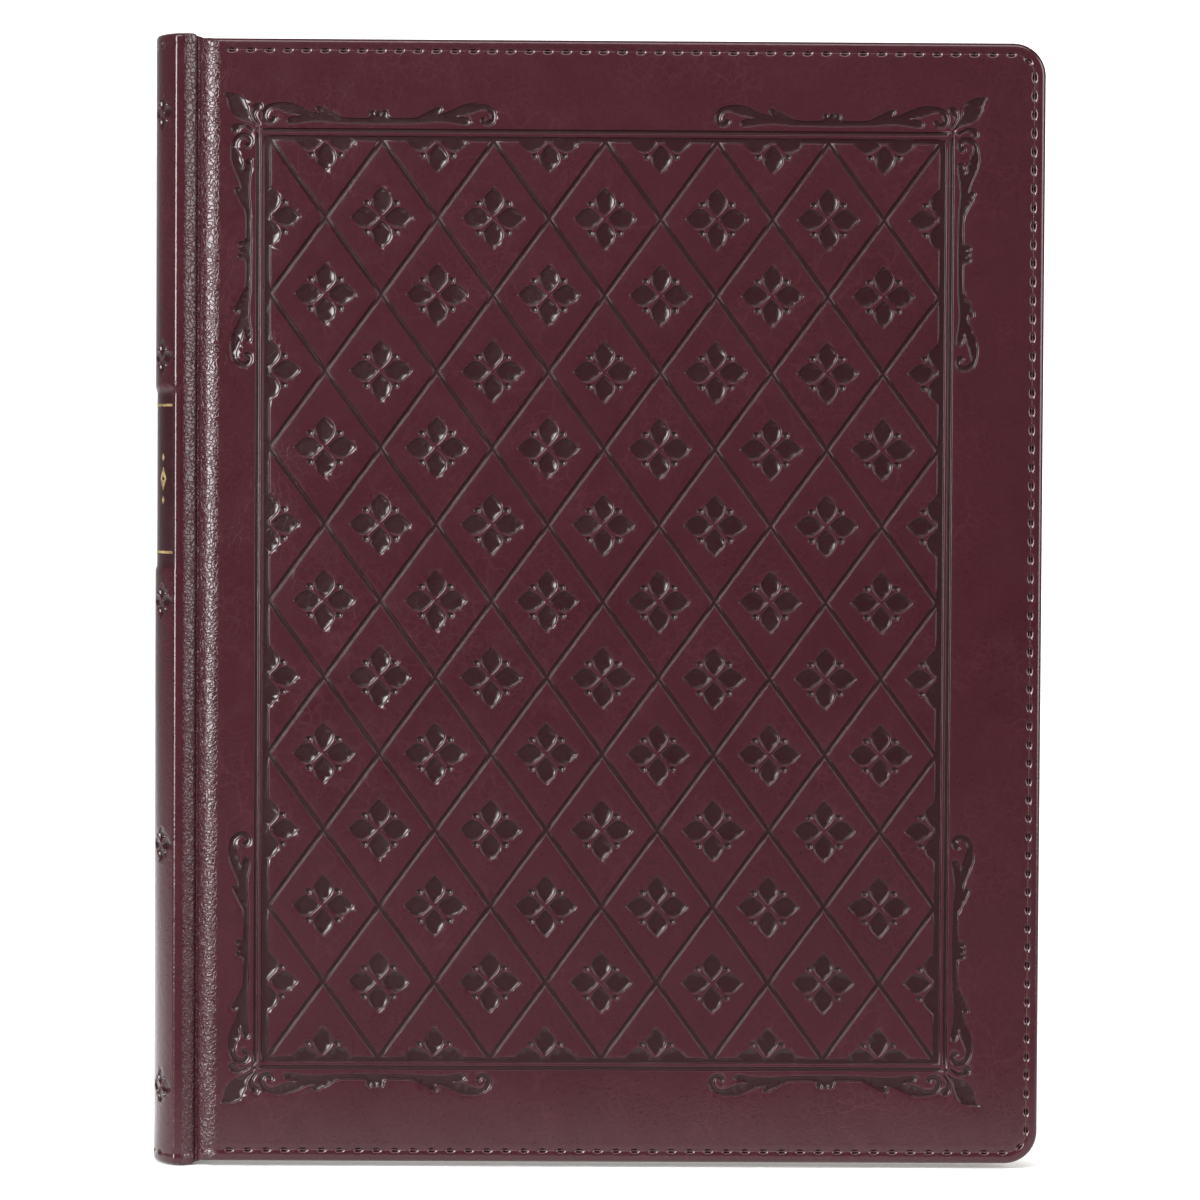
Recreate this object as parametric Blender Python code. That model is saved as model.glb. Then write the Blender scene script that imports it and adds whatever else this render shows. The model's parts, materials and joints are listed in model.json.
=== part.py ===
"""A padded, leather-covered prayer book standing on its tail, spine towards -X, front cover towards -Y.

The origin is the middle of the footprint, on the surface that the book stands on. Sizes are in metres.
"""

import math

import bmesh
import bpy
from mathutils import Vector

MM = 0.001
GAP = 0.3 * MM

# Overall size, with the spine a little taller than the boards
WIDTH = 175.2 * MM
THICKNESS = 40.0 * MM
HEIGHT = 223.6 * MM
SPINE_PROUD = 0.95 * MM
HALF_THICK = THICKNESS / 2
FORE_EDGE = WIDTH / 2
SPINE_BACK = -WIDTH / 2
COVER_TAIL = SPINE_PROUD
COVER_HEAD = HEIGHT - SPINE_PROUD
COVER_CORNER = 6.5 * MM

# Materials of the cover, from the outside in
LEATHER = 0.9 * MM
PADDING = 1.0 * MM
BOARD = 2.0 * MM
PASTEDOWN = 0.25 * MM
FLYLEAF = 0.2 * MM
TURN_IN_WIDTH = 14.0 * MM
SQUARE = 3.1 * MM

# The joint: a groove along the spine side of each cover, and the hinge line half way down it
GROOVE_X = -79.4 * MM
GROOVE_DEPTH = 3.2 * MM
GROOVE_SPLIT = 0.3 * MM
BOARD_SHOULDER = 3.8 * MM
HINGE_Y = HALF_THICK - 1.2 * MM
BOARD_SPINE_EDGE = -76.0 * MM

# The spine: a strip beside the groove, a ridge, a round shoulder and a nearly flat back
RIDGE_X = -83.95 * MM
RIDGE_DROP = 0.5 * MM
STRIP_X = -81.7 * MM
STRIP_DROP = 0.8 * MM
SHOULDER_RADIUS = 8.5 * MM
SHOULDER_START = math.radians(38)
SHOULDER_END = math.radians(86)
STIFFENER = 1.0 * MM

# The text block
SECTIONS = 10
BLOCK_TAIL = COVER_TAIL + SQUARE
BLOCK_HEAD = COVER_HEAD - SQUARE
BLOCK_FORE_EDGE = FORE_EDGE - SQUARE - 0.5 * MM
BLOCK_BACK = -82.0 * MM
GAUZE = 0.3 * MM
GAUZE_MARGIN = 12.0 * MM
LINING = 0.5 * MM
BAND_RADIUS = 1.3 * MM
BAND_SKIRT = 9.0 * MM

# The seam round the cover
SEAM_INSET = 2.3 * MM
CHANNEL_RADIUS = 0.65 * MM
CHANNEL_DEPTH = 0.6 * MM
THREAD_RADIUS = 0.15 * MM
THREAD_DEPTH = 0.2 * MM
SEAM_END_MARGIN = 0.5 * MM

# Where each layer of a cover lies, measured outwards from the middle of the book's thickness
LEATHER_INSIDE = HALF_THICK - LEATHER
PADDING_OUTSIDE = LEATHER_INSIDE - GAP
PADDING_INSIDE = PADDING_OUTSIDE - PADDING
BOARD_OUTSIDE = PADDING_INSIDE - GAP
BOARD_INSIDE = BOARD_OUTSIDE - BOARD
TURN_IN_OUTSIDE = BOARD_INSIDE - GAP
TURN_IN_INSIDE = TURN_IN_OUTSIDE - LEATHER
PASTEDOWN_OUTSIDE = TURN_IN_INSIDE - GAP
PASTEDOWN_INSIDE = PASTEDOWN_OUTSIDE - PASTEDOWN
FLYLEAF_OUTSIDE = PASTEDOWN_INSIDE - GAP
FLYLEAF_INSIDE = FLYLEAF_OUTSIDE - FLYLEAF
BLOCK_HALF_THICK = FLYLEAF_INSIDE - GAP
SECTION_PITCH = 2 * BLOCK_HALF_THICK / SECTIONS
SECTION_THICK = SECTION_PITCH - GAP

FRONT = -1
BACK = 1
CUTTER_REACH = 30 * MM


def clear_scene():
    for thing in list(bpy.data.objects):
        bpy.data.objects.remove(thing, do_unlink=True)


def new_collection(name):
    collection = bpy.data.collections.new(name)
    bpy.context.scene.collection.children.link(collection)
    return collection


def material(name, colour, roughness, metallic=0.0):
    made = bpy.data.materials.new(name)
    made.use_nodes = True
    shader = made.node_tree.nodes["Principled BSDF"]
    shader.inputs["Base Color"].default_value = (*colour, 1.0)
    shader.inputs["Roughness"].default_value = roughness
    shader.inputs["Metallic"].default_value = metallic
    return made


def outline_object(name, outlines, thickness, collection):
    """A flat outline in the XY plane, filled and given its thickness along Z, centred on Z."""
    curve = bpy.data.curves.new(name, "CURVE")
    curve.dimensions = "2D"
    curve.fill_mode = "BOTH"
    curve.extrude = thickness / 2
    for outline in outlines:
        spline = curve.splines.new("POLY")
        spline.points.add(len(outline) - 1)
        for point, (x, y) in zip(spline.points, outline):
            point.co = (x, y, 0, 1)
        spline.use_cyclic_u = True
    made = bpy.data.objects.new(name, curve)
    collection.objects.link(made)
    return made


def upright(name, outline, low, high, collection):
    """An outline in plan, raised from height low to height high."""
    made = outline_object(name, [outline], high - low, collection)
    made.location.z = (low + high) / 2
    return made


def panel(name, outline, y_one, y_other, collection):
    """An outline in X and Z, given its thickness between two values of Y."""
    made = outline_object(name, [outline], abs(y_other - y_one), collection)
    made.rotation_euler.x = math.pi / 2
    made.location.y = (y_one + y_other) / 2
    return made


def as_mesh(curve_object):
    """The same object with its shape as a welded mesh, ready for a Boolean."""
    bpy.context.view_layer.update()
    evaluated = curve_object.evaluated_get(bpy.context.evaluated_depsgraph_get())
    mesh = bpy.data.meshes.new_from_object(evaluated)
    shape = bmesh.new()
    shape.from_mesh(mesh)
    bmesh.ops.remove_doubles(shape, verts=shape.verts, dist=0.001 * MM)
    bmesh.ops.recalc_face_normals(shape, faces=shape.faces)
    shape.to_mesh(mesh)
    shape.free()
    name = curve_object.name
    collection = curve_object.users_collection[0]
    place = curve_object.matrix_world.copy()
    bpy.data.objects.remove(curve_object, do_unlink=True)
    made = bpy.data.objects.new(name, mesh)
    made.matrix_world = place
    collection.objects.link(made)
    return made


def cut(target, cutter, operation="DIFFERENCE"):
    cutter.hide_render = True
    cutter.display_type = "WIRE"
    boolean = target.modifiers.new(operation.title(), "BOOLEAN")
    boolean.operation = operation
    boolean.solver = "EXACT"
    boolean.object = cutter


def finish(thing, look):
    thing.data.materials.append(look)
    return thing


def arc(centre, radius_x, radius_y, start, end, steps):
    """Points on an ellipse from angle start to angle end, ends included."""
    points = []
    for i in range(steps + 1):
        angle = start + (end - start) * i / steps
        points.append((centre[0] + radius_x * math.cos(angle), centre[1] + radius_y * math.sin(angle)))
    return points


def offset_path(path, distance):
    """The path moved to its left by a distance, with mitred corners."""
    moved = []
    for i, point in enumerate(path):
        before = Vector(path[max(i - 1, 0)])
        after = Vector(path[min(i + 1, len(path) - 1)])
        here = Vector(point)
        into = (here - before).normalized() if i > 0 else (after - here).normalized()
        out = (after - here).normalized() if i < len(path) - 1 else into
        normal = (Vector((-into.y, into.x)) + Vector((-out.y, out.x))).normalized()
        stretch = 1 / max(normal.dot(Vector((-into.y, into.x))), 0.5)
        moved.append(tuple(here + normal * distance * stretch))
    return moved


def mirrored(path):
    return [(x, -y) for x, y in reversed(path)]


def cover_outline(left, right, tail, head, corner):
    """A board's outline in X and Z: square at the spine, round at the fore-edge corners."""
    head_corner = arc((right - corner, head - corner), corner, corner, math.pi / 2, 0, 6)
    tail_corner = arc((right - corner, tail + corner), corner, corner, 0, -math.pi / 2, 6)
    return [(left, head), *head_corner, *tail_corner, (left, tail)]


def inset_outline(left, inset):
    corner = max(COVER_CORNER - inset, 1 * MM)
    return cover_outline(left, FORE_EDGE - inset, COVER_TAIL + inset, COVER_HEAD - inset, corner)


def shoulder_path():
    """The cover's padded edge in plan, from the flat face down into the groove."""
    centre = (GROOVE_X + GROOVE_SPLIT + BOARD_SHOULDER, HALF_THICK - GROOVE_DEPTH)
    return arc(centre, BOARD_SHOULDER, GROOVE_DEPTH, math.pi / 2, math.pi, 8)


def cover_plan(side):
    """The covering leather in plan: the face, the padded edge and the flap that reaches the groove."""
    outer = shoulder_path()
    inner = [point for point in offset_path(outer, LEATHER) if point[0] < BOARD_SPINE_EDGE - 0.2 * MM]
    top = (FORE_EDGE + CUTTER_REACH, HALF_THICK)
    low = (FORE_EDGE + CUTTER_REACH, TURN_IN_INSIDE)
    inner_root = [(BOARD_SPINE_EDGE, LEATHER_INSIDE - 0.2 * MM)]
    outline = [top, *outer, *reversed(inner), *inner_root, (BOARD_SPINE_EDGE, TURN_IN_INSIDE), low]
    return [(x, side * y) for x, y in outline]


def tube(name, path, radius, collection):
    """A thin round cord through a list of points."""
    curve = bpy.data.curves.new(name, "CURVE")
    curve.dimensions = "3D"
    curve.bevel_depth = radius
    curve.bevel_resolution = 1
    curve.use_fill_caps = True
    spline = curve.splines.new("POLY")
    spline.points.add(len(path) - 1)
    for point, place in zip(spline.points, path):
        point.co = (*place, 1)
    made = bpy.data.objects.new(name, curve)
    collection.objects.link(made)
    return made


def cover_seam(side, depth, shorter):
    """The seam's line round head, fore-edge and tail, at a depth below the cover's face."""
    corner = COVER_CORNER - SEAM_INSET
    left = BOARD_SPINE_EDGE + 2 * MM + shorter
    right = FORE_EDGE - SEAM_INSET
    tail = COVER_TAIL + SEAM_INSET
    head = COVER_HEAD - SEAM_INSET
    outline = cover_outline(left, right, tail, head, corner)
    return [(x, side * (HALF_THICK - depth), z) for x, z in outline]


def build_cover(side, name, parts, cutters, looks):
    """One cover: leather over foam over board, lined inside with the pastedown."""
    leather = as_mesh(upright(name + "_leather", cover_plan(side), -CUTTER_REACH, HEIGHT + CUTTER_REACH, parts))
    edge = cover_outline(GROOVE_X - CUTTER_REACH, FORE_EDGE, COVER_TAIL, COVER_HEAD, COVER_CORNER)
    trim = as_mesh(panel(name + "_trim", edge, 0, side * (HALF_THICK + CUTTER_REACH), cutters))
    cut(leather, trim, "INTERSECT")
    pocket_outline = inset_outline(BOARD_SPINE_EDGE - 0.05 * MM, LEATHER)
    pocket = panel(name + "_pocket", pocket_outline, side * TURN_IN_OUTSIDE, side * LEATHER_INSIDE, cutters)
    cut(leather, as_mesh(pocket))
    window_outline = [
        (BOARD_SPINE_EDGE - CUTTER_REACH, COVER_HEAD - TURN_IN_WIDTH),
        (FORE_EDGE - TURN_IN_WIDTH, COVER_HEAD - TURN_IN_WIDTH),
        (FORE_EDGE - TURN_IN_WIDTH, COVER_TAIL + TURN_IN_WIDTH),
        (BOARD_SPINE_EDGE - CUTTER_REACH, COVER_TAIL + TURN_IN_WIDTH),
    ]
    window = panel(name + "_window", window_outline, 0, side * (TURN_IN_OUTSIDE + 0.1 * MM), cutters)
    cut(leather, as_mesh(window))
    cut(leather, as_mesh(tube(name + "_channel", cover_seam(side, 0, 0), CHANNEL_RADIUS, cutters)))
    finish(leather, looks["leather"])

    padding = inset_outline(BOARD_SPINE_EDGE, LEATHER + GAP)
    pad = panel(name + "_padding", padding, side * PADDING_INSIDE, side * PADDING_OUTSIDE, parts)
    finish(pad, looks["foam"])
    board = panel(name + "_board", padding, side * BOARD_INSIDE, side * BOARD_OUTSIDE, parts)
    finish(board, looks["board"])
    paper = [
        (BOARD_SPINE_EDGE, BLOCK_HEAD),
        (BLOCK_FORE_EDGE, BLOCK_HEAD),
        (BLOCK_FORE_EDGE, BLOCK_TAIL),
        (BOARD_SPINE_EDGE, BLOCK_TAIL),
    ]
    pasted = panel(name + "_pastedown", paper, side * PASTEDOWN_INSIDE, side * PASTEDOWN_OUTSIDE, parts)
    finish(pasted, looks["endpaper"])
    thread_path = cover_seam(side, THREAD_DEPTH, SEAM_END_MARGIN)
    finish(tube(name + "_stitching", thread_path, THREAD_RADIUS, parts), looks["thread"])


def spine_half_path():
    """The spine's outer face in plan, from the middle of the back round to the front groove."""
    ridge = (RIDGE_X, HALF_THICK - RIDGE_DROP)
    centre = (
        ridge[0] + SHOULDER_RADIUS * math.sin(SHOULDER_START),
        ridge[1] - SHOULDER_RADIUS * math.cos(SHOULDER_START),
    )
    round_part = []
    for i in range(9):
        lean = SHOULDER_END + (SHOULDER_START - SHOULDER_END) * i / 8
        x = centre[0] - SHOULDER_RADIUS * math.sin(lean)
        round_part.append((x, centre[1] + SHOULDER_RADIUS * math.cos(lean)))
    flat_part = []
    for i in range(4):
        share = i / 4
        flat_part.append((SPINE_BACK + (round_part[0][0] - SPINE_BACK) * share**2, round_part[0][1] * share))
    groove_end = GROOVE_X - GROOVE_SPLIT
    into_groove = [
        (STRIP_X, HALF_THICK - STRIP_DROP),
        (STRIP_X + 0.7 * MM, HALF_THICK - STRIP_DROP - 0.5 * MM),
        (STRIP_X + 1.3 * MM, HALF_THICK - STRIP_DROP - 1.3 * MM),
        (groove_end, HALF_THICK - GROOVE_DEPTH),
    ]
    return flat_part + round_part, into_groove


def spine_band(outer_offset, inner_offset, end_trim):
    """A closed outline between two offsets of the spine's outer face, from ridge to ridge."""
    half, _ = spine_half_path()
    half = half[: len(half) - end_trim]
    whole = mirrored(half)[:-1] + half
    return offset_path(whole, -outer_offset) + list(reversed(offset_path(whole, -inner_offset)))


def spine_plan():
    """The spine's leather in plan: thin at the grooves, and as thick as its folded ends in between."""
    half, into_groove = spine_half_path()
    outer = half + into_groove
    inner_flap = list(reversed(offset_path(outer, -LEATHER)[len(half) :]))
    folded = 2 * LEATHER + STIFFENER + 2 * GAP
    inner_back = list(reversed(offset_path(half, -folded)[:-1]))
    half_outline = outer + inner_flap + inner_back
    rest = [(x, -y) for x, y in reversed(half_outline)]
    return half_outline[:-1] + rest[:-1]


def spine_seam(height, name, looks, parts, leather, cutters):
    """A seam across the spine: a channel cut in the leather, with the thread lying in it."""
    channel_plan = spine_band(-MM, CHANNEL_DEPTH, 0)
    low = height - CHANNEL_RADIUS
    high = height + CHANNEL_RADIUS
    cut(leather, as_mesh(upright(name + "_channel", channel_plan, low, high, cutters)))
    half, _ = spine_half_path()
    whole = mirrored(half[:-1])[:-1] + half[:-1]
    thread_path = [(x, y, height) for x, y in offset_path(whole, -THREAD_DEPTH)]
    finish(tube(name + "_stitching", thread_path, THREAD_RADIUS, parts), looks["thread"])


def build_spine(parts, cutters, looks):
    leather = as_mesh(upright("spine_leather", spine_plan(), 0, HEIGHT, parts))
    folded = 2 * LEATHER + STIFFENER + 2 * GAP
    pocket_plan = spine_band(LEATHER, folded - LEATHER, 1)
    cut(leather, as_mesh(upright("spine_pocket", pocket_plan, LEATHER, HEIGHT - LEATHER, cutters)))
    window_plan = spine_band(LEATHER, folded + 1.5 * MM, 0)
    window = upright("spine_window", window_plan, TURN_IN_WIDTH, HEIGHT - TURN_IN_WIDTH, cutters)
    cut(leather, as_mesh(window))
    spine_seam(SEAM_INSET, "spine_tail", looks, parts, leather, cutters)
    spine_seam(HEIGHT - SEAM_INSET, "spine_head", looks, parts, leather, cutters)
    finish(leather, looks["leather"])
    stiffener_plan = spine_band(LEATHER + GAP, LEATHER + GAP + STIFFENER, 2)
    low = LEATHER + GAP
    finish(upright("spine_stiffener", stiffener_plan, low, HEIGHT - low, parts), looks["board"])


def box_plan(x_low, x_high, half_width):
    return [(x_low, -half_width), (x_high, -half_width), (x_high, half_width), (x_low, half_width)]


def build_linings(parts, looks):
    """What is glued to the back of the block: open gauze, and a strip of kraft paper over it."""
    gauze_x = BLOCK_BACK - GAP - GAUZE
    gauze_plan = box_plan(gauze_x, gauze_x + GAUZE, BLOCK_HALF_THICK)
    gauze = upright("backing_gauze", gauze_plan, BLOCK_TAIL + GAUZE_MARGIN, BLOCK_HEAD - GAUZE_MARGIN, parts)
    finish(gauze, looks["gauze"])
    lining_x = gauze_x - GAP - LINING
    lining_plan = box_plan(lining_x, lining_x + LINING, BLOCK_HALF_THICK)
    finish(upright("spine_lining", lining_plan, BLOCK_TAIL + MM, BLOCK_HEAD - MM, parts), looks["kraft"])
    for name, edge, direction in (("head_band", BLOCK_HEAD, 1), ("tail_band", BLOCK_TAIL, -1)):
        build_band(name, edge, direction, gauze_x, parts, looks)


def build_band(name, edge, direction, skirt_x, parts, looks):
    """A corded band across one end of the block's back, with its skirt glued down behind."""
    centre = (skirt_x + GAUZE / 2, edge + direction * (GAP + BAND_RADIUS))
    half_skirt = math.asin(GAUZE / 2 / BAND_RADIUS)
    down = -direction * math.pi / 2
    bead = arc(centre, BAND_RADIUS, BAND_RADIUS, down + half_skirt, down + 2 * math.pi - half_skirt, 16)
    skirt_end = edge - direction * BAND_SKIRT
    outline = [*bead, (bead[-1][0], skirt_end), (bead[0][0], skirt_end)]
    half = BLOCK_HALF_THICK - MM
    finish(panel(name, outline, -half, half, parts), looks["band"])


def section_plan(middle):
    """A folded gathering in plan: round at its fold, square at the fore-edge."""
    radius = SECTION_THICK / 2
    fold = arc((BLOCK_BACK + radius, middle), radius, radius, math.pi / 2, 3 * math.pi / 2, 8)
    return [(BLOCK_FORE_EDGE, middle + radius), *fold, (BLOCK_FORE_EDGE, middle - radius)]


def build_block(parts, looks):
    for i in range(SECTIONS):
        middle = (i + 0.5) * SECTION_PITCH - BLOCK_HALF_THICK
        name = f"page_section_{i + 1:02d}"
        finish(upright(name, section_plan(middle), BLOCK_TAIL, BLOCK_HEAD, parts), looks["paper"])
    for side, name in ((FRONT, "front_flyleaf"), (BACK, "back_flyleaf")):
        left = BLOCK_BACK + 1.5 * MM
        sheet = [(left, side * FLYLEAF_INSIDE), (BLOCK_FORE_EDGE, side * FLYLEAF_INSIDE)]
        sheet += [(BLOCK_FORE_EDGE, side * FLYLEAF_OUTSIDE), (left, side * FLYLEAF_OUTSIDE)]
        finish(upright(name, sheet, BLOCK_TAIL, BLOCK_HEAD, parts), looks["endpaper"])


def main():
    clear_scene()
    parts = new_collection("prayer_book")
    cutters = new_collection("cutters")
    looks = {
        "leather": material("burgundy_leather", (0.066, 0.020, 0.026), 0.45),
        "foam": material("grey_foam", (0.45, 0.45, 0.45), 0.9),
        "board": material("grey_board", (0.30, 0.27, 0.23), 0.85),
        "endpaper": material("cream_endpaper", (0.72, 0.66, 0.54), 0.8),
        "paper": material("ivory_paper", (0.80, 0.75, 0.64), 0.85),
        "thread": material("burgundy_thread", (0.05, 0.016, 0.02), 0.6),
        "gauze": material("cotton_gauze", (0.70, 0.68, 0.62), 0.95),
        "kraft": material("kraft_paper", (0.40, 0.26, 0.14), 0.85),
        "band": material("burgundy_headband", (0.20, 0.03, 0.05), 0.6),
    }
    build_cover(FRONT, "front_cover", parts, cutters, looks)
    build_cover(BACK, "back_cover", parts, cutters, looks)
    build_spine(parts, cutters, looks)
    build_linings(parts, looks)
    build_block(parts, looks)


main()
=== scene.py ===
"""The looks of the prayer book: a padded, debossed leather case round a block of thin leaves.

The book stands on its tail. +Z runs from tail to head, +X from spine to fore-edge, and the front
cover faces -Y. Lengths in the code are millimetres, and mesh points are turned into metres.
"""

import json
import math
import random

import bmesh
import bpy
import numpy as np
from mathutils import Matrix, Vector
from mathutils.geometry import delaunay_2d_cdt


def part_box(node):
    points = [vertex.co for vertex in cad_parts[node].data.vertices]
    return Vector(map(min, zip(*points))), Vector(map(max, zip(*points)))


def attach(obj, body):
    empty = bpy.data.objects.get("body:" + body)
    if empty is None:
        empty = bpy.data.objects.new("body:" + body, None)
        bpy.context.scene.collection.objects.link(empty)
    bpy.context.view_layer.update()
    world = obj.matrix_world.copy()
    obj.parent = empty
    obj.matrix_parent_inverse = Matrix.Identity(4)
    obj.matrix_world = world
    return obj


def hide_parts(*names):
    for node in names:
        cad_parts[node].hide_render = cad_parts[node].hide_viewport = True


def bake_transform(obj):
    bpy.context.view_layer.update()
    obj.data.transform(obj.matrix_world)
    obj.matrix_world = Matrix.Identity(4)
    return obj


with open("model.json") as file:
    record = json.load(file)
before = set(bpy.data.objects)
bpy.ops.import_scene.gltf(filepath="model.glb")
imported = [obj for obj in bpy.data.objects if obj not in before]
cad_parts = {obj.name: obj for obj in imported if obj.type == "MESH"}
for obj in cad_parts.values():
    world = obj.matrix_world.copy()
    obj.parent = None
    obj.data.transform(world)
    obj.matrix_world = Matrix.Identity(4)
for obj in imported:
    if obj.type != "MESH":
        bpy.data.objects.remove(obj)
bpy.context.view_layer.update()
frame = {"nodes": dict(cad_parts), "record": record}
MM = 0.001

# ---- sizes of the book, in millimetres ----
HALF_THICK = 20.0
FORE_EDGE = 87.6
HEIGHT = 223.6
COVER_TAIL, COVER_HEAD = 0.95, 222.65
COVER_CORNER = 6.5
COVER_THICK = 5.7
SPINE_FOLD_THICK = 3.4
FLAP_THICK = 0.75
FRONT, BACK = -1, 1
# the middle of the spine's back, and where the spine's strip meets the groove
SPINE_SWELL = -88.45
STRIP_JOIN = (-82.4, 19.29)
# the seam
SEAM_INSET = 2.3
STITCH_PITCH = 3.65
THREAD_RADIUS = 0.12
HOLE_DEPTH, HOLE_HALF_LENGTH, HOLE_HALF_WIDTH = 0.8, 0.5, 0.31

# ---- the debossed pattern ----
PATTERN_X, PATTERN_Z = 0.85, 112.15
DEBOSS = 0.42
PANEL_A, PANEL_B = 11.0, 15.0917
PANEL_GROOVE = 0.43
PANEL_SCALE = 1 - PANEL_GROOVE * math.hypot(PANEL_A, PANEL_B) / (PANEL_A * PANEL_B)
BAND_OUT = (67.15, 91.4)
RULE_OUT = (68.6, 92.85)
RULE_IN = (67.9, 92.15)
# wall of a debossed shape: distance to its raised side, and share of the depth
WALL = ((0.17, 0.0), (0.06, 0.15), (-0.05, 0.84), (-0.16, 1.0))


# ---- small geometry helpers ----
def smooth(points, sharp=(), steps=3, closed=True):
    """A curve through the points, with corners kept at the indices in sharp."""
    count = len(points)
    out = []
    for i in range(count if closed else count - 1):
        p1, p2 = np.array(points[i]), np.array(points[(i + 1) % count])
        p0 = np.array(points[(i - 1) % count]) if (closed or i > 0) else p1
        p3 = np.array(points[(i + 2) % count]) if (closed or i + 2 < count) else p2
        m1 = (p2 - p1) * 0.8 if i in sharp else (p2 - p0) / 2
        m2 = (p2 - p1) * 0.8 if (i + 1) % count in sharp else (p3 - p1) / 2
        for k in range(steps):
            t = k / steps
            a, b = 2 * t**3 - 3 * t**2 + 1, t**3 - 2 * t**2 + t
            c, d = -2 * t**3 + 3 * t**2, t**3 - t**2
            out.append(tuple(a * p1 + b * m1 + c * p2 + d * m2))
    if not closed:
        out.append(tuple(points[-1]))
    return out


def divided(outline, longest=2.4):
    """The closed outline with its long sides cut into shorter ones."""
    out = []
    for a, b in zip(outline, outline[1:] + outline[:1]):
        parts = max(1, math.ceil(math.dist(a, b) / longest))
        out += [(a[0] + (b[0] - a[0]) * k / parts, a[1] + (b[1] - a[1]) * k / parts)
                for k in range(parts)]
    return out


def area(poly):
    """The signed area of a closed outline, above 0 when it runs anticlockwise."""
    p = np.array(poly)
    q = np.roll(p, -1, axis=0)
    return 0.5 * float(np.sum(p[:, 0] * q[:, 1] - q[:, 0] * p[:, 1]))


def grown(poly, distance):
    """The closed outline moved outwards by a distance, with limited mitres."""
    p = np.array(poly)
    if area(poly) < 0:
        p = p[::-1]
    before, after = p - np.roll(p, 1, axis=0), np.roll(p, -1, axis=0) - p
    n1 = np.stack([before[:, 1], -before[:, 0]], 1)
    n2 = np.stack([after[:, 1], -after[:, 0]], 1)
    n1 /= np.linalg.norm(n1, axis=1)[:, None] + 1e-12
    n2 /= np.linalg.norm(n2, axis=1)[:, None] + 1e-12
    mean = n1 + n2
    mean /= np.linalg.norm(mean, axis=1)[:, None] + 1e-12
    stretch = 1 / np.maximum(np.sum(mean * n1, axis=1), 0.5)
    return p + mean * (distance * stretch)[:, None]


def place_all(poly, x, z, flip_x=1, flip_z=1, swap=False):
    """An outline moved to (x, z), mirrored by a flip of -1 and with its two axes swapped if asked."""
    turned = [(v, u) for u, v in poly] if swap else poly
    return [(x + flip_x * u, z + flip_z * v) for u, v in turned]


def circle(x, z, radius, count=9):
    turns = [2 * math.pi * i / count for i in range(count)]
    return [(x + radius * math.cos(turn), z + radius * math.sin(turn)) for turn in turns]


def ramp(value, low, high):
    """0 below low, 1 above high and a straight line between them."""
    return min(max((value - low) / (high - low), 0), 1)


# ---- the pattern's outlines ----
PETAL_BASE, PETAL_TIP, PETAL_WAIST = 0.62, 6.08, 3.45
PETAL_STEPS = (0.7, 1.15, 1.65, 2.2, 2.8, 3.45, 4.05, 4.6, 5.1, 5.55, 5.88)
# half widths of the petals that run along x, along z and in from a border
PETAL_X, PETAL_Z, PETAL_BORDER = 2.0, 1.88, 1.92


def petal_half_width(r, half_width):
    """Half the petal's width at a distance r from the flower's centre."""
    if r <= PETAL_WAIST:
        return half_width * math.sin(math.pi / 2 * (r - PETAL_BASE) / (PETAL_WAIST - PETAL_BASE)) ** 0.95
    share = (r - PETAL_WAIST) / (PETAL_TIP - PETAL_WAIST)
    return half_width * math.cos(math.pi / 2 * share) ** 1.15


def petal(half_width, size=1.0):
    """A petal along +u from the flower's centre."""
    side = [(r * size, petal_half_width(r, half_width) * size) for r in PETAL_STEPS]
    return ([(PETAL_BASE * size, 0.0)] + [(u, -v) for u, v in side] + [(PETAL_TIP * size, 0.0)]
            + list(reversed(side)))


def flower(x, z, size=1.0):
    """Four petals and four buds, as holes."""
    holes = []
    for flip in (1, -1):
        holes.append(place_all(petal(PETAL_X, size), x, z, flip_x=flip))
        holes.append(place_all(petal(PETAL_Z, size), x, z, flip_z=flip, swap=True))
        for other in (1, -1):
            holes.append(circle(x + 2.9 * size * flip, z + 2.85 * size * other, 0.58 * size, 8))
    return holes


def border_panel(long_a, long_b):
    """Half a raised diamond against the border, with the half flower's scallops cut from its base:
    long_a runs along the border and long_b into the pattern."""
    a, b = long_a * PANEL_SCALE, long_b * PANEL_SCALE
    base = 0.13
    corner = a * (1 - base / b)
    side = [(r, base + petal_half_width(r, PETAL_BORDER)) for r in PETAL_STEPS]
    scallop = [(PETAL_TIP, base)] + list(reversed(side)) + [(PETAL_BASE - 0.02, base)]
    right = [(corner, base)] + scallop
    left = [(-u, v) for u, v in reversed(right)]
    return right + left + [(0, b)]


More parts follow.
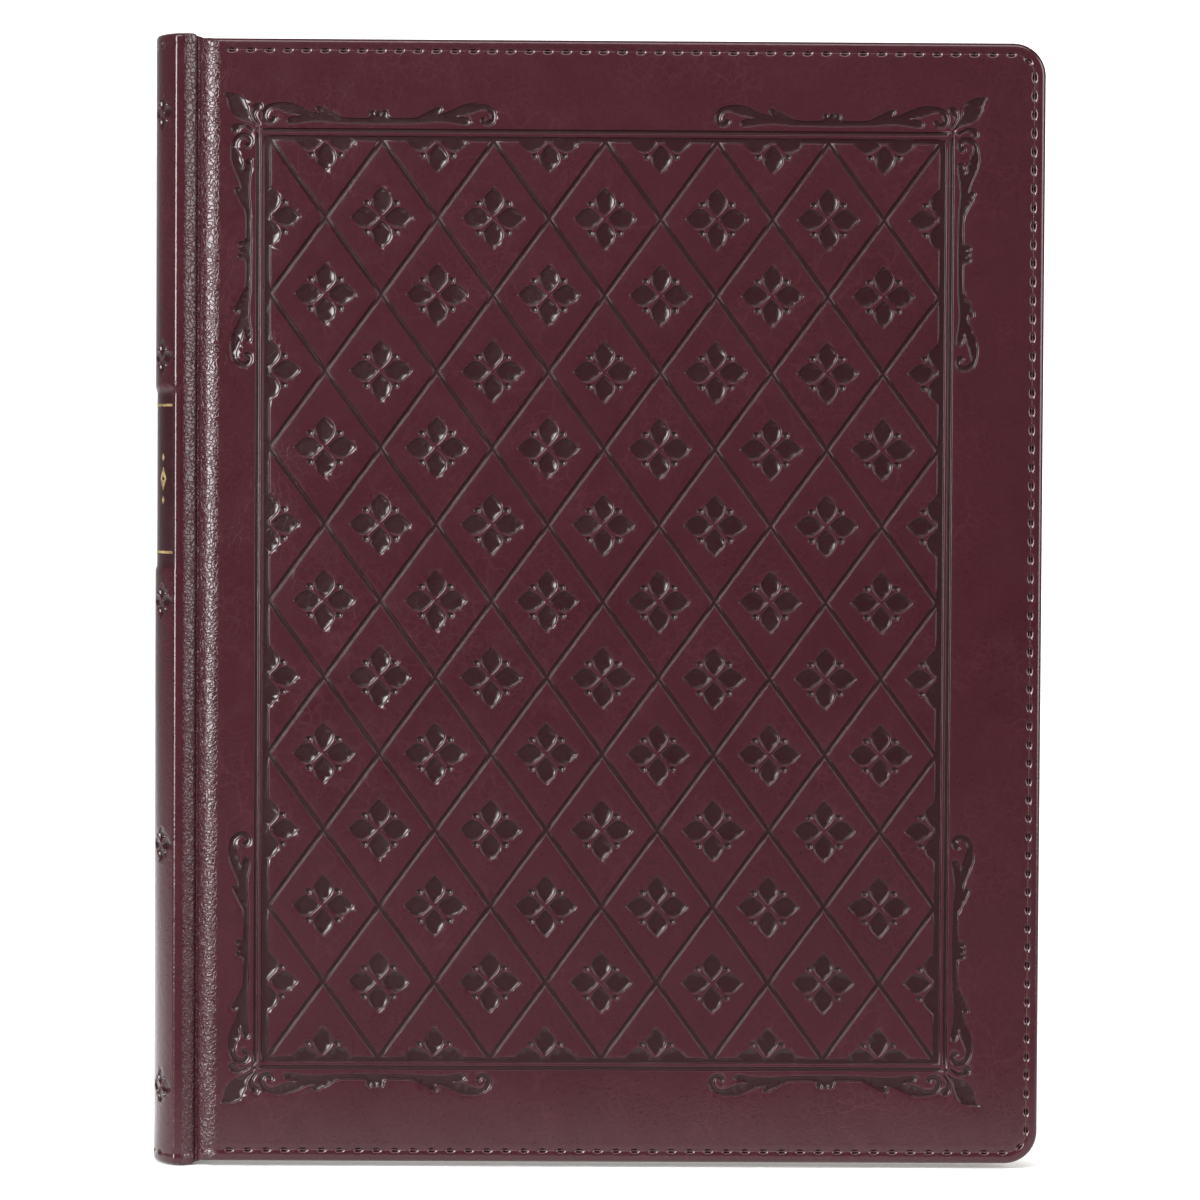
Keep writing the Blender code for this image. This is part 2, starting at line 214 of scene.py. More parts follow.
def pattern_contours():
    """Every outline of the front's pattern: ("sunk" or "raised", closed outline)."""
    made = [("sunk", rectangle(*BAND_OUT))]
    a, b = PANEL_A * PANEL_SCALE, PANEL_B * PANEL_SCALE
    for row in range(-5, 6):
        columns = (-2, -1, 0, 1, 2) if row % 2 else (-2.5, -1.5, -0.5, 0.5, 1.5, 2.5)
        for column in columns:
            x, z = column * 2 * PANEL_A, row * PANEL_B
            made.append(("raised", [(x + a, z), (x, z + b), (x - a, z), (x, z - b)]))
            made += [("sunk", hole) for hole in flower(x, z)]
    limit_x, limit_z = 6 * PANEL_A, 6 * PANEL_B
    for flip in (1, -1):
        for odd in (-5, -3, -1, 1, 3, 5):
            add_border(made, odd * PANEL_A, flip * limit_z, PANEL_A, PANEL_B, 1, -flip, False)
        for odd in (-5, -3, -1, 1, 3, 5):
            add_border(made, flip * limit_x, odd * PANEL_B, PANEL_B, PANEL_A, -flip, 1, True)
    for flip_x in (1, -1):
        for flip_z in (1, -1):
            made += corner_contours(flip_x, flip_z)
    made += rule_contours()
    return [(kind, place_all(divided(outline), PATTERN_X, PATTERN_Z)) for kind, outline in made]


def add_border(made, x, z, long_a, long_b, flip_x, flip_z, swap):
    """Adds a half diamond with its petal and two buds, at a point of the pattern's border."""
    inward = [(v, u) for u, v in petal(PETAL_BORDER)]
    buds = [circle(2.9 * side, 2.9, 0.55, 8) for side in (1, -1)]
    made.append(("raised", place_all(border_panel(long_a, long_b), x, z, flip_x, flip_z, swap)))
    for hole in [inward] + buds:
        made.append(("sunk", place_all(hole, x, z, flip_x, flip_z, swap)))


def rectangle(half_x, half_z):
    return [(half_x, half_z), (-half_x, half_z), (-half_x, -half_z), (half_x, -half_z)]


def rule_contours():
    """The narrow rule outside the band: four bars with mitred ends, and a dot at each corner."""
    made = []
    x_in, x_out, z_in, z_out = RULE_IN[0], RULE_OUT[0], RULE_IN[1], RULE_OUT[1]
    stop = 0.75
    for flip in (1, -1):
        bar = [(-x_in + stop, z_in), (x_in - stop, z_in), (x_out - stop, z_out), (-x_out + stop, z_out)]
        made.append(("sunk", [(x, z * flip) for x, z in bar]))
        bar = [(x_in, -z_in + stop), (x_in, z_in - stop), (x_out, z_out - stop), (x_out, -z_out + stop)]
        made.append(("sunk", [(x * flip, z) for x, z in bar]))
        for other in (1, -1):
            made.append(("sunk", circle((x_out - 0.15) * flip, (z_out - 0.15) * other, 0.3, 7)))
    return made


CORNER_LEAF = [
    (-6.63, 6.89), (-5.86, 5.69), (-5.55, 4.38), (-4.9, 3.06), (-3.83, 1.99), (-2.63, 1.56),
    (-1.32, 1.27), (-0.62, 0.82), (-0.1, 0.42), (-0.3, 0.8), (-0.95, 1.7), (-1.5, 2.85), (-1.67, 3.9),
    (-2.2, 5.1), (-2.34, 5.57), (-3.11, 6.29), (-4.78, 6.82),
]
CORNER_LEAFLET = [
    (0.42, 0.62), (-0.05, 1.15), (-0.36, 1.7), (-0.9, 2.7), (-0.84, 3.9), (-0.36, 4.74), (0.6, 4.9),
    (1.08, 4.38), (0.96, 3.66), (0.2, 3.4), (-0.22, 2.7), (-0.05, 1.95), (0.6, 1.0),
]
VINE_HALF = [
    (6.3, 0.85), (5.9, 1.4), (6.04, 1.75), (6.6, 2.2), (7.6, 2.42), (8.5, 2.57), (7.27, 2.72),
    (6.3, 2.95), (5.3, 3.32), (4.16, 3.75), (3.18, 3.85), (2.5, 3.5), (2.15, 2.95), (2.0, 2.4),
    (2.15, 1.85), (2.6, 1.6), (2.95, 1.85), (3.2, 2.3), (3.7, 2.3), (4.0, 1.75), (3.6, 1.05),
    (2.7, 0.72), (1.87, 0.9), (1.2, 1.47), (0.97, 2.13), (1.0, 2.95), (1.3, 3.7), (2.03, 4.42),
    (3.0, 4.83), (4.65, 5.07), (6.3, 5.0), (7.9, 4.5), (9.56, 3.76), (11.2, 3.15), (12.1, 3.1),
    (11.7, 3.6), (11.65, 4.15), (12.0, 4.35), (12.67, 4.2), (13.5, 3.75), (14.3, 3.36), (15.1, 2.95),
    (16.1, 2.4), (17.1, 2.12), (19.0, 2.05), (21.4, 2.07), (22.2, 2.3), (22.25, 3.0), (22.7, 3.6),
    (23.25, 3.4), (23.3, 2.7), (23.55, 3.25), (24.0, 3.5),
]
VINE_SHARP = (0, 5, 34)
VINE_FLOOR = [
    (24.0, 0.98), (18.6, 1.06), (16.1, 1.1), (14.5, 1.25), (12.8, 1.4), (11.2, 1.38), (9.56, 1.2),
    (8.25, 0.98), (7.1, 0.84),
]


def vine():
    """One scrolling vine, with u along the frame from its corner and v outwards."""
    top = smooth(VINE_HALF, VINE_SHARP, 2, closed=False)
    half = list(VINE_FLOOR) + top
    middle = VINE_HALF[-1][0]
    other = [(2 * middle - u, v) for u, v in reversed(half)]
    return half[:-1] + other[:-1]


def corner_contours(flip_x, flip_z):
    """The leaf, two leaflets and two vines at one corner of the frame."""
    x, z = flip_x * RULE_OUT[0], flip_z * RULE_OUT[1]
    leaf = smooth(CORNER_LEAF, (0, 8, 14), 2)
    leaflet = smooth(CORNER_LEAFLET, (0,), 2)

    def level(outline):
        return "sunk", [(x - flip_x * u, z + flip_z * v) for u, v in outline]

    def upright(outline):
        return "sunk", [(x + flip_x * v, z - flip_z * u) for u, v in outline]

    return [level(leaf), level(leaflet), upright(leaflet), level(vine()), upright(vine())]


# ---- triangulated sheet with walls ----
def inside_mask(points, poly):
    """True for the points inside a closed outline."""
    p = np.array(poly)
    q = np.roll(p, -1, axis=0)
    x, y = points[:, 0], points[:, 1]
    result = np.zeros(len(points), bool)
    for (x1, y1), (x2, y2) in zip(p, q):
        if y1 == y2:
            continue
        hit = (y1 > y) != (y2 > y)
        result ^= hit & (x < (x2 - x1) * (y - y1) / (y2 - y1) + x1)
    return result


def in_box(points, outline, reach=0.0):
    """The indices of the points in the outline's box, made larger by reach."""
    low, high = outline.min(0) - reach, outline.max(0) + reach
    return np.where(np.all((points >= low) & (points <= high), axis=1))[0]


def near_mask(points, poly, reach):
    """True for the points closer than reach to an outline."""
    p = np.array(poly)
    picked = in_box(points, p, reach)
    result = np.zeros(len(points), bool)
    c = points[picked]
    best = np.full(len(c), 1e9)
    for a, b in zip(p, np.roll(p, -1, axis=0)):
        d = b - a
        t = np.clip(((c - a) @ d) / (d @ d + 1e-12), 0, 1)
        best = np.minimum(best, np.linalg.norm(c - a - t[:, None] * d, axis=1))
    result[picked] = best < reach
    return result


def level_of(points, contours):
    """1 on a debossed floor and 0 on the raised leather."""
    level = np.zeros(len(points), int)
    for kind, outline in contours:
        picked = in_box(points, np.array(outline))
        hit = picked[inside_mask(points[picked], outline)]
        level[hit] = 1 if kind == "sunk" else 0
    return level


def scattered(boundary, spacing, rng):
    """Staggered rows of points over the box of the boundary, each moved a little at random."""
    low, high = np.array(boundary).min(0), np.array(boundary).max(0)
    points = []
    v = low[1] + spacing
    odd = False
    while v < high[1] - spacing / 2:
        u = low[0] + spacing * (1 if odd else 0.5)
        while u < high[0] - spacing / 2:
            shift = rng.uniform(-0.25, 0.25) * spacing, rng.uniform(-0.25, 0.25) * spacing
            points.append((u + shift[0], v + shift[1]))
            u += spacing
        odd = not odd
        v += spacing * 0.87
    return np.array(points)


def sheet_of(contours, boundary, spacing, seed):
    """Triangles over the boundary outline, with a sloped wall at each contour.
    Returns the 2-D points, each one's share of the debossing's depth, and the triangles."""
    points, sunk, edges = [], [], []

    def ring(outline, share):
        first = len(points)
        for u, v in outline:
            points.append((float(u), float(v)))
            sunk.append(share)
        count = len(outline)
        edges.extend((first + i, first + (i + 1) % count) for i in range(count))

    ring(boundary, 0.0)
    for kind, outline in contours:
        out = 1 if kind == "sunk" else -1
        for distance, share in WALL:
            ring(grown(outline, distance * out), share)
    extra = scattered(boundary, spacing, random.Random(seed))
    keep = inside_mask(extra, boundary) & ~near_mask(extra, boundary, spacing * 0.45)
    for _, outline in contours:
        keep &= ~near_mask(extra, outline, 0.5)
    extra = extra[keep]
    levels = level_of(extra, contours)
    for (u, v), share in zip(extra, levels):
        points.append((float(u), float(v)))
        sunk.append(float(share))
    made = delaunay_2d_cdt([Vector(p) for p in points], edges, [], 0, 1e-5)
    new_points, _, faces, originals = made[:4]
    xy = np.array([(p.x, p.y) for p in new_points])
    share = np.array([sunk[o[0]] if o else -1.0 for o in originals])
    known = np.where(share >= 0)[0]
    for i in np.where(share < 0)[0]:
        nearest = np.argmin(np.sum((xy[known] - xy[i]) ** 2, axis=1))
        share[i] = share[known[nearest]]
    triangles = np.array([face for face in faces if len(face) == 3])
    return xy, share, triangles[inside_mask(xy[triangles].mean(1), boundary)]


class Skin:
    """Points and faces of one leather sheet, gathered piece by piece."""

    def __init__(self):
        self.points, self.faces, self.sunk = [], [], []

    def add(self, point, share=0.0):
        self.points.append(tuple(point))
        self.sunk.append(share)
        return len(self.points) - 1

    def grid(self, rows):
        """rows is a list of rows of points, all of one length. A fourth number says how sunk a point is."""
        index = [[self.add(p[:3], p[3] if len(p) > 3 else 0.0) for p in row] for row in rows]
        for i in range(len(rows) - 1):
            for j in range(len(rows[0]) - 1):
                self.faces.append((index[i][j], index[i + 1][j], index[i + 1][j + 1], index[i][j + 1]))

    def sheet(self, xy, share, triangles, place):
        """Adds a triangulated sheet. place gives a point and its sunk value for each (u, v, share)."""
        first = len(self.points)
        for (u, v), s in zip(xy, share):
            self.add(*place(u, v, s))
        self.faces += [tuple(int(first + i) for i in triangle) for triangle in triangles]

    def build(self, name, material):
        mesh = bpy.data.meshes.new(name)
        mesh.from_pydata([(x * MM, y * MM, z * MM) for x, y, z in self.points], [], self.faces)
        mesh.attributes.new("sunk", "FLOAT", "POINT").data.foreach_set("value", self.sunk)
        made = linked(bpy.data.objects.new(name, mesh))
        weld(made)
        mesh.polygons.foreach_set("use_smooth", [True] * len(mesh.polygons))
        mesh.materials.append(material)
        shade = made.modifiers.new("shade", "WEIGHTED_NORMAL")
        shade.keep_sharp = True
        shade.weight = 80
        return made


def linked(thing):
    bpy.context.scene.collection.objects.link(thing)
    return thing


def weld(thing, distance=2e-6):
    """Joins the points where two parts of a sheet meet and drops faces without area."""
    bm = bmesh.new()
    bm.from_mesh(thing.data)
    bmesh.ops.remove_doubles(bm, verts=bm.verts, dist=distance)
    bad = [face for face in bm.faces if face.calc_area() < 1e-13]
    bmesh.ops.delete(bm, geom=bad, context="FACES_ONLY")
    bmesh.ops.recalc_face_normals(bm, faces=bm.faces)
    bm.to_mesh(thing.data)
    bm.free()


# ---- the cover's sheet ----
# From the turn-in's inner edge, round the cover's rounded edge, to the flat face: inset and drop.
EDGE_PROFILE = ((14.0, 1.0), (8.0, 1.0), (3.0, 1.0), (1.1, 0.985), (0.45, 0.93), (0.12, 0.84), (0.0, 0.7),
                (0.0, 0.45), (0.0, 0.24))
ROUND_PROFILE = ((0.02, 0.95), (0.1, 0.6), (0.26, 0.31), (0.5, 0.13), (0.8, 0.04), (1.15, 0.0))
SEAM_INSETS = (1.45, 1.7, 1.88, 2.03, 2.16, 2.3, 2.44, 2.57, 2.72, 2.95, 3.3, 3.8, 4.4, 5.0)
STRIP_INSET = SEAM_INSETS[-1]
PATTERN_LEFT = -74.5
# the padded shoulder beside the groove is a quarter of an ellipse
SHOULDER = (-75.3, 17.7)
SHOULDER_WIDE, SHOULDER_HIGH = 3.8, 2.3


def hole_share(along, inset):
    """1 in the middle of a stitch hole and 0 away from it."""
    local = (along + STITCH_PITCH / 2) % STITCH_PITCH - STITCH_PITCH / 2
    return math.exp(-((local / HOLE_HALF_LENGTH) ** 4 + ((inset - SEAM_INSET) / HOLE_HALF_WIDTH) ** 4))


def seam_drop(along, inset):
    """How far the leather is pulled in at the seam: the channel, the holes and the puckers round them."""
    across = inset - SEAM_INSET
    drop = 0.09 * math.exp(-((across / 0.5) ** 2)) - 0.02 * math.exp(-(((abs(across) - 0.95) / 0.35) ** 2))
    if along is None:
        return drop
    local = (along + STITCH_PITCH / 2) % STITCH_PITCH - STITCH_PITCH / 2
    drop += HOLE_DEPTH * hole_share(along, inset)
    drop += 0.06 * math.exp(-((local / 0.7) ** 2 + (across / 0.6) ** 2))
    return drop


def strip_rows(thick, along):
    """(inset, drop) pairs of one cross-section of the border."""
    rows = [(inset, drop * thick) for inset, drop in EDGE_PROFILE]
    thin = min(1.0, thick / 4.0)
    rows += [(inset, drop * thin) for inset, drop in ROUND_PROFILE]
    rows += [(inset, seam_drop(along, inset) if inset < STRIP_INSET else 0.0) for inset in SEAM_INSETS]
    return rows


def seam_line():
    """Samples along the cover's border: a point, its outward direction and the seam's phase."""
    radius = COVER_CORNER
    centre_x, low, high = FORE_EDGE - radius, COVER_TAIL + radius, COVER_HEAD - radius
    straight_x, straight_z = centre_x - PATTERN_LEFT, high - low
    quarter = math.pi / 2 * (radius - SEAM_INSET)
    total = 2 * straight_x + straight_z + 2 * quarter
    count = round(total / STITCH_PITCH)
    pitch = total / count
    local = (-0.5, -0.36, -0.2, -0.125, -0.06, 0.0, 0.06, 0.125, 0.2, 0.36)
    marks = [(i + 0.5 + share) * pitch for i in range(count) for share in local] + [total]
    samples = []
    for mark in marks:
        # the turn is 0 along the tail, a quarter up the fore-edge and a half along the head
        low_turn = ramp(mark, straight_x, straight_x + quarter)
        high_turn = ramp(mark, straight_x + quarter + straight_z, total - straight_x)
        turn = math.pi / 2 * (low_turn + high_turn)
        out = (math.sin(turn), -math.cos(turn))
        x = PATTERN_LEFT + min(mark, straight_x, total - mark)
        z = low + straight_z * ramp(mark, straight_x + quarter, straight_x + quarter + straight_z)
        phase = mark / pitch * STITCH_PITCH - STITCH_PITCH / 2
        samples.append(((x + radius * out[0], z + radius * out[1]), out, phase))
    return samples


def groove_path():
    """The leather in plan from the spine's strip, through the groove and over the padded shoulder."""
    path = [STRIP_JOIN, (-81.95, 19.2), (-81.65, 19.08), (-81.35, 18.93), (-81.0, 18.74),
            (-80.7, 18.57), (-80.4, 18.4), (-80.1, 18.22), (-79.82, 18.05), (-79.6, 17.88), (-79.46, 17.62),
            (-79.38, 17.5), (-79.3, 17.6), (-79.2, 17.85)]
    for i in range(15):
        turn = math.pi - (math.pi / 2) * (i + 0.6) / 14.6
        across, out = SHOULDER_WIDE * math.cos(turn), SHOULDER_HIGH * math.sin(turn)
        path.append((SHOULDER[0] + across, SHOULDER[1] + out))
    return path + [(-74.9, HALF_THICK), (PATTERN_LEFT, HALF_THICK)]


def path_normals(path):
    """A unit normal at each point of an open path. The last one points straight out."""
    p = np.array(path)
    d = np.gradient(p, axis=0)
    n = np.stack([-d[:, 1], d[:, 0]], 1)
    n /= np.linalg.norm(n, axis=1)[:, None]
    n[-1] = (0, 1)
    return n


def border_strip(side):
    """The rows of the stitched border, and the line in the face where it ends."""
    strip, inner = [], []
    for (px, pz), (ox, oz), phase in seam_line():
        row = []
        for inset, drop in strip_rows(COVER_THICK, phase):
            x, z = px - ox * inset, pz - oz * inset
            if inset > COVER_CORNER:
                x = min(x, FORE_EDGE - inset)
                z = min(max(z, COVER_TAIL + inset), COVER_HEAD - inset)
            # the stitch holes are marked as sunk, so the leather look paints them dark: painted shade in the
            # holes
            row.append((x, side * (HALF_THICK - drop), z, hole_share(phase, inset)))
        strip.append(row)
        inner.append((row[-1][0], row[-1][2]))
    return strip, inner


def groove_columns(side, heights):
    """Columns of points from the spine's strip, through the groove and over the shoulder."""
    seam_start = seam_line()[0][2]
    z_low, z_high = COVER_TAIL + STRIP_INSET, COVER_HEAD - STRIP_INSET
    columns = []
    path = groove_path()
    for (x, t), (nx, nt) in zip(path, path_normals(path)):
        # the ends step in from the spine's height to the cover's, and the leather gets thicker
        share = ramp(x, -80.2, -78.6)
        share = share * share * (3 - 2 * share)
        low, high = COVER_TAIL * share, HEIGHT - COVER_TAIL * share
        thick = FLAP_THICK + (COVER_THICK - FLAP_THICK) * ramp(x, -79.2, -75.8) ** 1.5
        seam_share = ramp(x, -78.5, -76.0)
        ends = []
        for inset, drop in strip_rows(thick, seam_start):
            if 1.2 < inset < STRIP_INSET:
                channel = 0.12 * math.exp(-(((inset - SEAM_INSET) / 0.5) ** 2))
                drop = drop * seam_share + channel * (1 - seam_share)
            ends.append((inset, drop))
        column = [(x - nx * drop, side * (t - nt * drop), low + inset) for inset, drop in ends]
        for z in heights:
            z_share = (z - z_low) / (z_high - z_low)
            column.append((x, side * t, low + STRIP_INSET + (high - low - 2 * STRIP_INSET) * z_share))
        column += [(x - nx * drop, side * (t - nt * drop), high - inset) for inset, drop in reversed(ends)]
        columns.append(column)
    return columns


def cover_heights():
    """Where the groove's columns and the face have their points between the two borders."""
    z_low, z_high = COVER_TAIL + STRIP_INSET, COVER_HEAD - STRIP_INSET
    return [z_low + (z_high - z_low) * i / 90 for i in range(1, 90)]


def cover_face():
    """The patterned face inside the border, flat, for both covers."""
    inner = border_strip(FRONT)[1]
    boundary = inner + [(PATTERN_LEFT, z) for z in reversed(cover_heights())]
    return sheet_of(pattern_contours(), boundary, 1.7, 5)


def cover_skin(side, name, face, material):
    skin = Skin()
    skin.grid(border_strip(side)[0])
    skin.grid(groove_columns(side, cover_heights()))
    skin.sheet(*face, lambda x, z, share: ((x, side * (HALF_THICK - DEBOSS * share), z), share))
    skin.points = [waved(point, side) for point in skin.points]
    return skin.build(name, material)


def waved(point, side):
    """The faint unevenness of padded leather, only on the outer face."""
    x, y, z = point
    depth = HALF_THICK - side * y
    if depth > 1.4 or x < -75.2:
        return point
    edge = min(FORE_EDGE - x, z - COVER_TAIL, COVER_HEAD - z)
    fade = ramp(x, -75.2, -71.2) * (1 - ramp(depth, 0.8, 1.4)) * ramp(edge, 0, 3)
    wave = (math.sin(x * 0.31 + 1.3 * math.sin(z * 0.11)) * math.sin(z * 0.27 + 1.1 * math.sin(x * 0.13))
            + 0.6 * math.sin(x * 0.83 + z * 0.41 + 2 * math.sin(z * 0.19)))
    return (x, y - side * fade * (0.018 * wave + 0.03), z)


# ---- the spine's sheet ----
RIDGE = (-83.65, 19.46)
ROUND_RADIUS = 11.8
LEAN_START, LEAN_END = math.radians(38), math.radians(86)
RIDGE_BEND = 0.42


def spine_half_path():
    """The spine in plan, from the middle of the back to the strip beside the groove, as (x, out), and
    how many of its points lie before the soft bend at the ridge."""
    centre = RIDGE[0] + ROUND_RADIUS * math.sin(LEAN_START), RIDGE[1] - ROUND_RADIUS * math.cos(LEAN_START)
    arc = []
    steps = 16
    for i in range(steps + 1):
        lean = LEAN_END + (LEAN_START - LEAN_END) * i / steps
        arc.append((centre[0] - ROUND_RADIUS * math.sin(lean), centre[1] + ROUND_RADIUS * math.cos(lean)))
    flat = []
    for i in range(10):
        share = i / 10
        flat.append((SPINE_SWELL + (arc[0][0] - SPINE_SWELL) * share**2, arc[0][1] * share))
    ridge = np.array(arc.pop())
    away = np.array(arc[-1]) - ridge
    away /= np.linalg.norm(away)
    along = np.array(STRIP_JOIN) - ridge
    along /= np.linalg.norm(along)
    start, end = ridge + away * RIDGE_BEND, ridge + along * RIDGE_BEND
    curve = []
    for i in range(9):
        t = i / 8
        curve.append(tuple((1 - t) ** 2 * start + 2 * t * (1 - t) * ridge + t**2 * end))
    while np.dot(np.array(arc[-1]) - ridge, away) < RIDGE_BEND:
        arc.pop()
    return flat + arc + curve + [STRIP_JOIN], len(flat) + len(arc)


class Route:
    """The whole spine in plan, from the front round the back: a place for each arc length and depth."""

    def __init__(self):
        half, start_of_curve = spine_half_path()
        left = [(x, -t) for x, t in reversed(half[1:])]
        self.path = np.array(left + half)
        step = np.linalg.norm(np.diff(self.path, axis=0), axis=1)
        arc = np.concatenate([[0], np.cumsum(step)])
        self.arc = arc - arc[len(left)]
        self.normals = path_normals(self.path)
        for i, d in ((0, self.path[1] - self.path[0]), (-1, self.path[-1] - self.path[-2])):
            n = np.array([-d[1], d[0]])
            self.normals[i] = n / np.linalg.norm(n)
        self.curve_start = float(self.arc[len(left) + start_of_curve])

    def place(self, arc, drop):
        x, y = (np.interp(arc, self.arc, self.path[:, i]) for i in (0, 1))
        nx, ny = (np.interp(arc, self.arc, self.normals[:, i]) for i in (0, 1))
        size = math.hypot(nx, ny)
        return x - nx / size * drop, y - ny / size * drop


SPINE_ROWS = [111.8 + k * 48.15 for k in (-2, -1, 0, 1, 2)]
SPINE_COLUMN = 16.6
SPINE_FLOWER = 0.55
SPINE_DEBOSS = 0.34
SPINE_LOW, SPINE_HIGH = 6.0, HEIGHT - 6.0
LABEL_LOW, LABEL_HIGH = 118.2, 153.7
LABEL_DEPTH = 0.32


def spine_contours():
    return [("sunk", hole) for z in SPINE_ROWS for column in (-1, 0, 1)
            for hole in flower(column * SPINE_COLUMN, z, SPINE_FLOWER)]


def spine_heights():
    """Even steps up the spine, with closer ones across both edges of the label."""
    edges = [z + step for z in (LABEL_LOW, LABEL_HIGH) for step in (-0.25, 0.0, 0.25)]
    even = [SPINE_LOW + (SPINE_HIGH - SPINE_LOW) * i / 110 for i in range(1, 110)]
    clear = [z for z in even if all(not 0.01 < abs(z - edge) < 0.24 for edge in edges)]
    return sorted(set(edges + clear))


def spine_skin(route, material):
    skin = Skin()
    limit = route.curve_start - 0.05
    heights = spine_heights()
    arcs = list(np.linspace(-limit, limit, 130))
    outer = [float(a) for a in route.arc if a > limit + 0.02]

    def label_drop(z, arc):
        depth = LABEL_DEPTH if abs(arc) < limit - 0.3 else LABEL_DEPTH / 2
        below_top = 1 - ramp(z, LABEL_HIGH - 0.2, LABEL_HIGH + 0.2)
        return depth * below_top * ramp(z, LABEL_LOW - 0.2, LABEL_LOW + 0.2)

    def put(arc, drop, z):
        return (*route.place(arc, drop), z)

    def borders(arc):
        """The columns of points at the tail and at the head."""
        ends = strip_rows(SPINE_FOLD_THICK, arc + STITCH_PITCH / 2 if abs(arc) < limit - 1 else None)
        tail = [put(arc, drop, inset) for inset, drop in ends] + [put(arc, 0, SPINE_LOW)]
        head = [put(arc, 0, SPINE_HIGH)] + [put(arc, drop, HEIGHT - inset) for inset, drop in reversed(ends)]
        return tail, head

    def whole(arc):
        tail, head = borders(arc)
        return tail + [put(arc, label_drop(z, arc), z) for z in heights] + head

    def middle(arc, z, share):
        in_label = 0.75 if LABEL_LOW < z < LABEL_HIGH else 0.0
        return put(arc, SPINE_DEBOSS * share + label_drop(z, arc), z), max(share, in_label)

    # the strips beside the two grooves, the borders at tail and head, and the decorated middle
    skin.grid([whole(arc) for arc in [-a for a in reversed(outer)] + [-limit]])
    skin.grid([whole(arc) for arc in [limit] + outer])
    for end in (0, 1):
        skin.grid([borders(arc)[end] for arc in arcs])
    boundary = ([(a, SPINE_LOW) for a in arcs] + [(limit, z) for z in heights]
                + [(a, SPINE_HIGH) for a in reversed(arcs)] + [(-limit, z) for z in reversed(heights)])
    skin.sheet(*sheet_of(spine_contours(), boundary, 0.95, 9), middle)
    return skin.build("spine_skin", material)


# ---- threads ----
def tube(name, path, radius, material, sides=6):
    """A closed-ended tube along points in millimetres."""
    p = np.array(path, float)
    d = np.gradient(p, axis=0)
    d /= np.linalg.norm(d, axis=1)[:, None]
    points, faces = [], []
    for i, (q, t) in enumerate(zip(p, d)):
        a = np.cross(t, (0.0, 1.0, 0.0))
        a = a / np.linalg.norm(a) if np.linalg.norm(a) > 1e-6 else np.array((1.0, 0.0, 0.0))
        b = np.cross(t, a)
        for k in range(sides):
            turn = 2 * math.pi * k / sides + i * 0.5
            points.append(tuple((q + radius * (math.cos(turn) * a + math.sin(turn) * b)) * MM))
    for i in range(len(p) - 1):
        for k in range(sides):
            n = (k + 1) % sides
            faces.append((i * sides + k, i * sides + n, (i + 1) * sides + n, (i + 1) * sides + k))
    last = (len(p) - 1) * sides
    faces.append(tuple(reversed(range(sides))))
    faces.append(tuple(range(last, last + sides)))
    return solid(name, points, faces, material)


def solid(name, points, faces, material, smooth_faces=True):
    mesh = bpy.data.meshes.new(name)
    mesh.from_pydata(points, [], faces)
    mesh.polygons.foreach_set("use_smooth", [smooth_faces] * len(mesh.polygons))
    mesh.materials.append(material)
    return linked(bpy.data.objects.new(name, mesh))


def thread_drop(phase):
    """How deep the thread lies: it dips into each stitch hole."""
    local = abs((phase + STITCH_PITCH / 2) % STITCH_PITCH - STITCH_PITCH / 2)
    return 0.2 + 0.5 * math.exp(-((local / 0.5) ** 2))


def cover_thread(side, name, material):
    path = []
    for (px, pz), (ox, oz), phase in seam_line():
        drop = thread_drop(phase)
        path.append((px - ox * SEAM_INSET, side * (HALF_THICK - drop), pz - oz * SEAM_INSET))
    return tube(name, path, THREAD_RADIUS, material)


def spine_thread(route, name, height, material):
    limit = route.curve_start - 1.2
    path = []
    for arc in np.linspace(-limit, limit, 110):
        x, y = route.place(arc, thread_drop(arc + STITCH_PITCH / 2))
        path.append((x, y, height))
    return tube(name, path, THREAD_RADIUS, material)


